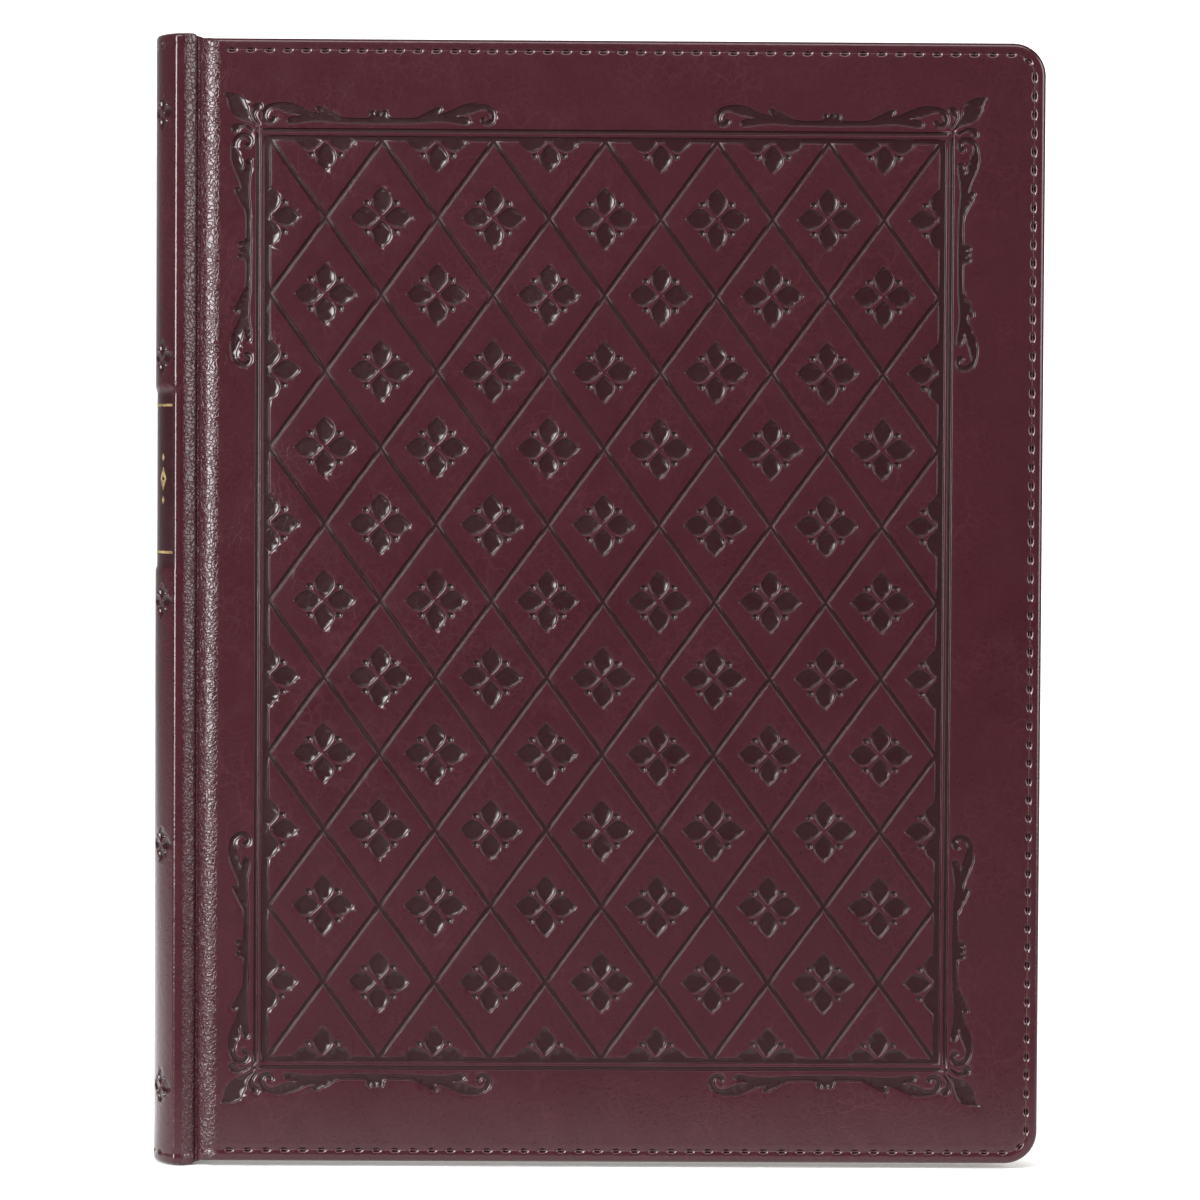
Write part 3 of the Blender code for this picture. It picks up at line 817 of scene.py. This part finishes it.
# ---- materials ----
class Look:
    """A node material put together step by step. Coordinates are the object's own, in metres."""

    def __init__(self, name, roughness=0.5, specular=0.5):
        self.material = bpy.data.materials.new(name)
        self.material.use_nodes = True
        self.tree = self.material.node_tree
        self.shader = next(n for n in self.tree.nodes if n.type == "BSDF_PRINCIPLED")
        self.shader.inputs["Specular IOR Level"].default_value = specular
        self.shader.inputs["Roughness"].default_value = roughness
        self.where = self.node("TexCoord").outputs["Object"]

    def put(self, socket, value):
        """Links a node's output to the socket, or sets the socket to a number, vector or colour."""
        if isinstance(value, bpy.types.NodeSocket):
            self.tree.links.new(value, socket)
        else:
            socket.default_value = (*value, 1) if socket.type == "RGBA" else value

    def node(self, kind, settings=(), **sockets):
        """A new node. An underscore in a socket's name stands for a space."""
        node = self.tree.nodes.new("ShaderNode" + kind)
        for name, value in settings:
            setattr(node, name, value)
        for name, value in sockets.items():
            self.put(node.inputs[name.replace("_", " ")], value)
        return node

    def axes(self):
        """Where a point lies along each axis."""
        return self.node("SeparateXYZ", Vector=self.where).outputs

    def stretched(self, scale):
        return self.node("Mapping", Vector=self.where, Scale=scale).outputs[0]

    def noise(self, scale, detail=3.0, distortion=0.0, where=None):
        where = where or self.where
        node = self.node("TexNoise", Vector=where, Scale=scale, Detail=detail, Distortion=distortion)
        return node.outputs["Fac"]

    def cells(self, scale, feature="DISTANCE_TO_EDGE", where=None):
        node = self.node("TexVoronoi", [("feature", feature)], Vector=where or self.where, Scale=scale)
        return node.outputs["Distance"]

    def waves(self, scale, direction="Z", distortion=0.0):
        node = self.node("TexWave", [("bands_direction", direction)], Vector=self.where, Scale=scale,
                         Distortion=distortion)
        return node.outputs["Fac"]

    def spread(self, value, low, high, to_low=0.0, to_high=1.0):
        """The value's range from low to high, mapped to another range and clamped."""
        node = self.node("MapRange", Value=value, From_Min=low, From_Max=high, To_Min=to_low, To_Max=to_high)
        return node.outputs["Result"]

    def math(self, operation, one, other):
        node = self.node("Math", [("operation", operation)])
        self.put(node.inputs[0], one)
        self.put(node.inputs[1], other)
        return node.outputs[0]

    def sum(self, one, other):
        return self.math("ADD", one, other)

    def times(self, one, other):
        return self.math("MULTIPLY", one, other)

    def minus(self, one, other):
        return self.math("SUBTRACT", one, other)

    def mix(self, factor, one, other):
        """A colour between two others."""
        node = self.node("Mix", [("data_type", "RGBA")])
        for name, value in (("Factor", factor), ("A", one), ("B", other)):
            self.put(next(s for s in node.inputs if s.name == name and s.enabled), value)
        return next(s for s in node.outputs if s.enabled)

    def colour(self, source):
        self.put(self.shader.inputs["Base Color"], source)

    def rough(self, source):
        self.put(self.shader.inputs["Roughness"], source)

    def bump(self, height, distance, strength=1.0):
        node = self.node("Bump", Strength=strength, Distance=distance, Height=height)
        self.put(self.shader.inputs["Normal"], node.outputs[0])


LEATHER_LIGHT, LEATHER_DARK = (0.0263, 0.0047, 0.0074), (0.0211, 0.0036, 0.0056)
# the darker pressed colour of the debossed floors, also used as painted shade in the cover's stitch holes
FLOOR_AND_HOLE_SHADE_COLOUR = (0.0121, 0.0021, 0.0032)


MOTTLE_COLOUR = (0.041, 0.0092, 0.0135)
CREASE_COLOUR, FINE_CREASE_COLOUR = (0.053, 0.0139, 0.0185), (0.046, 0.0116, 0.0156)
# where the face's pressed leather turns into the shoulder's, and where the groove meets the spine
SHOULDER_X, FACE_X = -0.0760, -0.0735
CRACKED_X, UNCRACKED_X = -0.0764, -0.0748
SPINE_X, GROOVE_X = -0.0822, -0.0816


def leather_look(name):
    look = Look(name, 0.25, 0.42)
    x = look.axes()["X"]
    sunk = look.node("Attribute", [("attribute_name", "sunk")]).outputs["Fac"]
    broad = look.noise(26.0, 4.0, 0.6)
    cloud = look.noise(120.0, 5.0, 0.9)
    # fine creases: cell edges, pulled about by a slow noise, and fading in and out
    bend = look.node("VectorMath", [("operation", "MULTIPLY_ADD")])
    slow = look.node("TexNoise", Vector=look.where, Scale=160.0, Detail=4.0).outputs["Color"]
    for socket, value in zip(bend.inputs, (slow, (0.006, 0.006, 0.006), look.where)):
        look.put(socket, value)
    bent = bend.outputs[0]
    crease = look.times(look.spread(look.cells(210.0, where=bent), 0.0, 0.055, 1.0, 0.0),
                        look.spread(look.noise(34.0, 3.0, 1.2), 0.48, 0.62))
    fine_crease = look.times(look.spread(look.cells(520.0, where=bent), 0.0, 0.07, 1.0, 0.0),
                             look.spread(look.noise(52.0, 3.0, 0.8), 0.42, 0.6))
    mottle = look.spread(look.noise(1300.0, 4.0), 0.3, 0.7)
    # the cracks between the grain's cells, only in the groove and on the shoulder
    cracks = look.spread(look.cells(1150.0, where=bent), 0.02, 0.13, 1.0, 0.0)
    cracks = look.times(cracks, look.spread(x, CRACKED_X, UNCRACKED_X, 1.0, 0.0))
    cracks = look.times(cracks, look.spread(x, SPINE_X, GROOVE_X))

    tone = look.sum(look.spread(broad, 0.32, 0.68, 0.0, 0.5), look.spread(cloud, 0.3, 0.7, 0.0, 0.5))
    colour = look.mix(tone, LEATHER_DARK, LEATHER_LIGHT)
    colour = look.mix(look.times(mottle, 0.30), colour, MOTTLE_COLOUR)
    colour = look.mix(look.times(crease, 0.26), colour, CREASE_COLOUR)
    colour = look.mix(look.times(fine_crease, 0.3), colour, FINE_CREASE_COLOUR)
    # the sunk mark darkens the colour: the pressed floors' own darker tone, and painted shade in the cover's
    # stitch holes
    look.colour(look.mix(look.spread(sunk, 0.25, 0.9), colour, FLOOR_AND_HOLE_SHADE_COLOUR))

    speck = look.noise(2400.0, 2.0)
    rough = look.sum(look.spread(cloud, 0.3, 0.7, 0.13, 0.19), look.spread(speck, 0.35, 0.65, -0.02, 0.03))
    rough = look.sum(rough, look.spread(sunk, 0.3, 0.9, 0.0, 0.06))
    look.rough(look.sum(rough, look.times(cracks, 0.3)))

    # the face is pressed smooth, and the stretched leather at the groove and spine keeps its grain
    grainy = look.spread(x, SHOULDER_X, FACE_X, 0.55, 0.15)
    grainy = look.times(grainy, look.spread(x, SPINE_X, GROOVE_X, 0.35, 1.0))
    grainy = look.times(look.spread(sunk, 0.2, 0.9, 1.0, 0.5), grainy)
    grain, pore = look.cells(1750.0, "F1"), look.cells(2600.0, "F1")
    height = look.sum(look.sum(look.times(grain, 0.55), look.times(pore, 0.35)), look.times(speck, 0.45))
    height = look.minus(look.times(height, grainy), look.times(crease, 0.07))
    height = look.minus(look.minus(height, look.times(fine_crease, 0.1)), look.times(cracks, 0.6))
    look.bump(height, 0.00011, 0.85)
    return look.material


def thread_look():
    look = Look("thread", 0.55, 0.4)
    twist = look.waves(900.0, "DIAGONAL", 1.5)
    fibre = look.noise(3500.0, 2.0)
    look.colour(look.mix(look.times(twist, fibre), (0.034, 0.0095, 0.0125), (0.085, 0.026, 0.031)))
    look.rough(look.spread(fibre, 0.3, 0.7, 0.45, 0.65))
    look.bump(twist, 0.00006, 0.8)
    look.shader.inputs["Sheen Weight"].default_value = 0.2
    return look.material


def foil_look():
    look = Look("gold_foil", 0.3, 0.5)
    worn = look.noise(900.0, 4.0, 0.6)
    look.colour(look.mix(look.spread(worn, 0.4, 0.62), (0.42, 0.28, 0.11), (0.68, 0.52, 0.26)))
    look.rough(look.spread(worn, 0.3, 0.7, 0.24, 0.5))
    look.shader.inputs["Metallic"].default_value = 0.85
    look.bump(look.noise(2200.0, 2.0), 0.00003, 0.6)
    return look.material


def paper_look(name="page_paper", warm=(0.72, 0.69, 0.61), shade=(0.62, 0.58, 0.50)):
    look = Look(name, 0.85, 0.2)
    fibre = look.noise(700.0, 6.0, 0.8, look.stretched((1.0, 1.0, 0.35)))
    cloud = look.noise(60.0, 3.0)
    tone = look.sum(look.spread(fibre, 0.3, 0.7, 0.0, 0.6), look.spread(cloud, 0.3, 0.7, 0.0, 0.4))
    look.colour(look.mix(tone, shade, warm))
    look.rough(look.spread(fibre, 0.3, 0.7, 0.75, 0.92))
    look.bump(fibre, 0.00004, 0.5)
    return look.material


def board_look():
    look = Look("grey_board", 0.9, 0.2)
    fibre = look.noise(520.0, 6.0, 1.0, look.stretched((1.0, 1.0, 0.5)))
    fleck = look.cells(420.0, "F1")
    tone = look.spread(fibre, 0.3, 0.7)
    colour = look.mix(tone, (0.24, 0.22, 0.19), (0.36, 0.34, 0.30))
    look.colour(look.mix(look.spread(fleck, 0.0, 0.16, 0.7, 0.0), colour, (0.12, 0.11, 0.10)))
    look.rough(look.spread(fibre, 0.3, 0.7, 0.82, 0.96))
    look.bump(fibre, 0.00012, 0.6)
    return look.material


def foam_look():
    look = Look("foam_padding", 0.95, 0.15)
    pores = look.cells(1300.0, "F1")
    cloud = look.noise(90.0, 3.0)
    colour = look.mix(look.spread(pores, 0.05, 0.5), (0.42, 0.40, 0.33), (0.72, 0.70, 0.60))
    look.colour(look.mix(look.spread(cloud, 0.35, 0.65, 0.0, 0.35), colour, (0.62, 0.55, 0.40)))
    look.rough(look.spread(pores, 0.0, 0.5, 0.98, 0.85))
    look.bump(pores, 0.0003, 0.9)
    return look.material


def weave_look(name, light, dark, scale):
    look = Look(name, 0.9, 0.2)
    warp = look.waves(scale, "Z", 0.6)
    weft = look.waves(scale, "X", 0.6)
    across = look.waves(scale, "Y", 0.6)
    woven = look.math("MAXIMUM", look.math("MAXIMUM", warp, weft), across)
    fibre = look.noise(1500.0, 3.0)
    tone = look.sum(look.spread(woven, 0.5, 1.0, 0.0, 0.8), look.spread(fibre, 0.3, 0.7, 0.0, 0.2))
    look.colour(look.mix(tone, dark, light))
    look.rough(look.spread(fibre, 0.3, 0.7, 0.8, 0.95))
    look.bump(woven, 0.00012, 0.8)
    return look.material


def kraft_look():
    look = Look("kraft_paper", 0.8, 0.25)
    fibre = look.noise(420.0, 6.0, 1.4, look.stretched((1.0, 1.0, 0.25)))
    colour = look.mix(look.spread(fibre, 0.3, 0.7), (0.23, 0.135, 0.065), (0.38, 0.25, 0.135))
    look.colour(colour)
    look.rough(look.spread(fibre, 0.3, 0.7, 0.68, 0.9))
    look.bump(fibre, 0.00006, 0.6)
    return look.material


def band_look():
    look = Look("headband_cloth", 0.7, 0.3)
    stripe = look.waves(110.0, "Y", 0.15)
    thread = look.waves(560.0, "Y", 0.3)
    fibre = look.noise(1800.0, 3.0)
    colour = look.mix(look.spread(stripe, 0.46, 0.54), (0.20, 0.028, 0.036), (0.70, 0.63, 0.50))
    look.colour(look.mix(look.spread(fibre, 0.3, 0.7, 0.0, 0.35), colour, (0.10, 0.04, 0.035)))
    look.rough(look.spread(fibre, 0.3, 0.7, 0.6, 0.82))
    look.bump(thread, 0.0002, 0.9)
    look.shader.inputs["Sheen Weight"].default_value = 0.25
    return look.material


# ---- leaves and endpapers ----
LEAVES_PER_SECTION = 10
SECTION_HALF = 1.285
LEAF_GAP = 0.012
LEAF_STEPS_X, LEAF_STEPS_Z = 7, 10


def section_leaves(node, name, material, seed, centre):
    """A section as a stack of thin folded leaves that fills its share of the book block."""
    low, high = (Vector(corner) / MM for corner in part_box(node))
    rng = random.Random(seed)
    points, faces = [], []
    start = centre - SECTION_HALF
    thick = 2 * SECTION_HALF / LEAVES_PER_SECTION
    for leaf in range(LEAVES_PER_SECTION):
        sides = start + thick * leaf + LEAF_GAP, start + thick * (leaf + 1) - LEAF_GAP
        right = high.x - rng.uniform(0, 0.16)
        bottom = low.z + rng.uniform(0, 0.05)
        top = high.z - rng.uniform(0, 0.14)
        phase, sway = rng.uniform(0, 6.28), rng.uniform(0.0, 0.006)
        first = len(points)
        fold = abs(leaf - (LEAVES_PER_SECTION - 1) / 2) / LEAVES_PER_SECTION
        left = low.x + 0.9 * fold * fold
        for y in sides:
            for i in range(LEAF_STEPS_X + 1):
                for k in range(LEAF_STEPS_Z + 1):
                    x = left + (right - left) * (i / LEAF_STEPS_X) ** 1.8
                    z = bottom + (top - bottom) * k / LEAF_STEPS_Z
                    wave = sway * math.sin(phase + z * 0.05)
                    # the section is pinched a little at its fold, so that it can fan
                    pinch = 1 - 0.1 * (1 - ramp(x, low.x, low.x + 5))
                    points.append((x * MM, (centre + (y - centre + wave) * pinch) * MM, z * MM))

        def at(side, i, k):
            return first + (side * (LEAF_STEPS_X + 1) + i) * (LEAF_STEPS_Z + 1) + k

        last_i, last_k = LEAF_STEPS_X, LEAF_STEPS_Z
        for i in range(last_i):
            for k in range(last_k):
                faces.append((at(0, i, k), at(0, i + 1, k), at(0, i + 1, k + 1), at(0, i, k + 1)))
                faces.append((at(1, i, k), at(1, i, k + 1), at(1, i + 1, k + 1), at(1, i + 1, k)))
        for i in range(last_i):
            faces.append((at(0, i, 0), at(1, i, 0), at(1, i + 1, 0), at(0, i + 1, 0)))
            faces.append((at(0, i, last_k), at(0, i + 1, last_k), at(1, i + 1, last_k), at(1, i, last_k)))
        for k in range(last_k):
            faces.append((at(0, 0, k), at(0, 0, k + 1), at(1, 0, k + 1), at(1, 0, k)))
            faces.append((at(0, last_i, k), at(1, last_i, k), at(1, last_i, k + 1), at(0, last_i, k + 1)))
    return solid(name, points, faces, material, False)


def foil_on_spine(route, name, marks, material, drop, thick=0.05):
    """Thin foil shapes lying on the spine: marks are closed outlines in (arc, z)."""
    points, faces = [], []
    for outline in marks:
        rows = [[], []]
        for arc, z in outline:
            for side, sunk in ((0, drop - thick), (1, drop + 0.03)):
                x, y = route.place(arc, sunk)
                rows[side].append(len(points))
                points.append((x * MM, y * MM, z * MM))
        faces.append(tuple(rows[0]))
        count = len(outline)
        for i in range(count):
            n = (i + 1) % count
            faces.append((rows[0][i], rows[1][i], rows[1][n], rows[0][n]))
    return solid(name, points, faces, material, False)


RULE_HEIGHTS = (121.4, 150.45)
RULE_HALF = 0.25
LOZENGE_Z = 135.9


def label_marks(limit):
    """Two rules and a row of small lozenges, a plain stand-in for a gilt label."""
    def lozenge(arc, z, half_wide, half_high):
        return [(arc - half_wide, z), (arc, z - half_high), (arc + half_wide, z), (arc, z + half_high)]

    marks = []
    arcs = np.linspace(-limit, limit, 44)
    for z in RULE_HEIGHTS:
        for a, b in zip(arcs[:-1], arcs[1:]):
            marks.append([(a, z - RULE_HALF), (b, z - RULE_HALF), (b, z + RULE_HALF), (a, z + RULE_HALF)])
    for column in (-2, -1, 0, 1, 2):
        arc = column * SPINE_COLUMN / 2
        size = 2.3 if column else 3.2
        marks.append(lozenge(arc, LOZENGE_Z, size * 0.55, size))
        for way in (1, -1):
            marks.append(lozenge(arc, LOZENGE_Z + way * (size + 1.9), 0.5, 0.8))
    return marks


# ---- camera, stage and light ----
CAMERA_PLACE = (-0.0128, -1.020, 0.1474)
CAMERA_PAN, CAMERA_TILT, CAMERA_ROLL = (math.radians(angle) for angle in (-0.748, -1.999, -0.325))
CAMERA_LENS = 152.1


def add_camera():
    data = bpy.data.cameras.new("camera")
    data.lens = CAMERA_LENS
    data.sensor_width = 36.0
    data.clip_start, data.clip_end = 0.05, 30.0
    camera = linked(bpy.data.objects.new("camera", data))
    camera.location = CAMERA_PLACE
    flat = math.cos(CAMERA_TILT)
    forward = Vector((-math.sin(CAMERA_PAN) * flat, math.cos(CAMERA_PAN) * flat, math.sin(CAMERA_TILT)))
    aim = forward.to_track_quat("-Z", "Y").to_matrix()
    camera.rotation_euler = (aim @ Matrix.Rotation(-CAMERA_ROLL, 3, "Z")).to_euler()
    bpy.context.scene.camera = camera


def stage_look():
    """White, and grey in front so that the cover doesn't mirror it, with a soft pool of painted light behind
    the book: the stage itself glows there, though it is no lamp, and the glow fades out to the sides."""
    look = Look("stage_white", 0.9, 0.1)
    place = look.axes()
    white = look.mix(look.spread(look.noise(1.5, 2.0), 0.3, 0.7), (0.93, 0.93, 0.93), (0.95, 0.95, 0.95))
    look.colour(look.mix(look.spread(place["Y"], -0.14, -0.04), (0.18, 0.18, 0.18), white))
    # painted light: emission makes the stage glow in a pool behind the book, fading out to the sides
    aside = look.math("POWER", look.times(place["X"], place["X"]), 0.5)
    reach = look.sum(aside, look.times(place["Y"], -0.14))
    pool = look.times(look.spread(place["Y"], -0.04, 0.06), look.spread(reach, 0.16, 0.85, 1.0, 0.0))
    glow = look.node("MapRange", [("interpolation_type", "SMOOTHSTEP")], Value=pool).outputs["Result"]
    look.shader.inputs["Emission Color"].default_value = (1, 1, 1, 1)
    look.put(look.shader.inputs["Emission Strength"], glow)
    return look.material


STAGE_FRONT, STAGE_BACK, STAGE_BEND = -3.0, 2.4, 0.7
STAGE_HALF_WIDE, STAGE_HIGH = 4.0, 3.2
STAGE_GAP = 0.0002


def add_stage():
    """A floor that curves up into a backdrop, a hair below the book."""
    profile = [(STAGE_FRONT, 0.0), (STAGE_BACK - STAGE_BEND, 0.0)]
    for i in range(1, 13):
        turn = math.pi / 2 * i / 12
        back = STAGE_BACK - STAGE_BEND * (1 - math.sin(turn))
        profile.append((back, STAGE_BEND * (1 - math.cos(turn))))
    profile.append((STAGE_BACK, STAGE_HIGH))
    points = [(x, y, z - STAGE_GAP) for x in (-STAGE_HALF_WIDE, STAGE_HALF_WIDE) for y, z in profile]
    count = len(profile)
    faces = [(i, i + 1, count + i + 1, count + i) for i in range(count - 1)]
    stage = solid("stage", points, faces, stage_look())


def add_light(name, place, size, power):
    """A softbox aimed at the middle of the book."""
    data = bpy.data.lights.new(name, "AREA")
    data.shape = "RECTANGLE"
    data.size, data.size_y = size
    data.energy = power
    lamp = linked(bpy.data.objects.new(name, data))
    lamp.location = place
    lamp.rotation_euler = (Vector((0, 0, 0.112)) - Vector(place)).to_track_quat("-Z", "Y").to_euler()


def add_lights():
    world = bpy.data.worlds.new("studio")
    world.use_nodes = True
    background = world.node_tree.nodes["Background"]
    background.inputs["Color"].default_value = (1, 1, 1, 1)
    background.inputs["Strength"].default_value = 0.22
    bpy.context.scene.world = world
    add_light("left_softbox", (-0.589, -0.841, 0.2), (0.46, 1.2), 35.0)
    add_light("right_softbox", (0.88, -0.60, 0.2), (0.6, 1.1), 14.0)
    add_light("top_softbox", (0.0, -0.68, 1.0), (1.0, 0.45), 8.0)


# ---- putting it together ----
bpy.context.scene.view_settings.view_transform = "Standard"
add_camera()
add_stage()
add_lights()

leather = leather_look("cover_leather")
spine_leather = leather_look("spine_leather")
thread = thread_look()
foil = foil_look()
paper = paper_look()
endpaper = paper_look("endpaper", (0.66, 0.61, 0.51), (0.57, 0.52, 0.42))
board = board_look()
foam = foam_look()
gauze = weave_look("gauze", (0.80, 0.77, 0.68), (0.30, 0.28, 0.24), 420.0)
kraft = kraft_look()
band = band_look()

face = cover_face()
route = Route()
for side, word in ((FRONT, "front"), (BACK, "back")):
    body = word + "_cover"
    skin = cover_skin(side, word + "_cover_skin", face, leather)
    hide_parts(word + "_cover_leather")
    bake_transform(skin)
    sewn = cover_thread(side, word + "_cover_thread", thread)
    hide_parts(word + "_cover_stitching")
    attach(sewn, body)

spine = spine_skin(route, spine_leather)
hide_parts("spine_leather")
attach(spine, "text_block")
for word, height in (("tail", SEAM_INSET), ("head", HEIGHT - SEAM_INSET)):
    sewn = spine_thread(route, "spine_" + word + "_thread", height, thread)
    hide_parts("spine_" + word + "_stitching")
    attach(sewn, "text_block")
marks = label_marks(route.curve_start - 0.55)
gilding = foil_on_spine(route, "spine_label_gilding", marks, foil, LABEL_DEPTH)
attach(gilding, "text_block")

members = frame["record"]["behaviour"]["bodies"]
bodies = {node: body for body, nodes in members.items() for node in nodes}
for number in range(1, 11):
    node = f"page_section_{number:02d}"
    low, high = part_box(node)
    leaves = section_leaves(node, f"leaves_{number:02d}", paper, number, (low[1] + high[1]) / 2 / MM)
    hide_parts(node)
    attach(leaves, bodies[node])

LOOKS = {"padding": foam, "board": board, "pastedown": endpaper, "flyleaf": endpaper, "gauze": gauze,
         "lining": kraft, "band": band, "stiffener": kraft}
for name, node in frame["nodes"].items():
    for word, look in LOOKS.items():
        if word in name:
            node.data.materials.clear()
            node.data.materials.append(look)
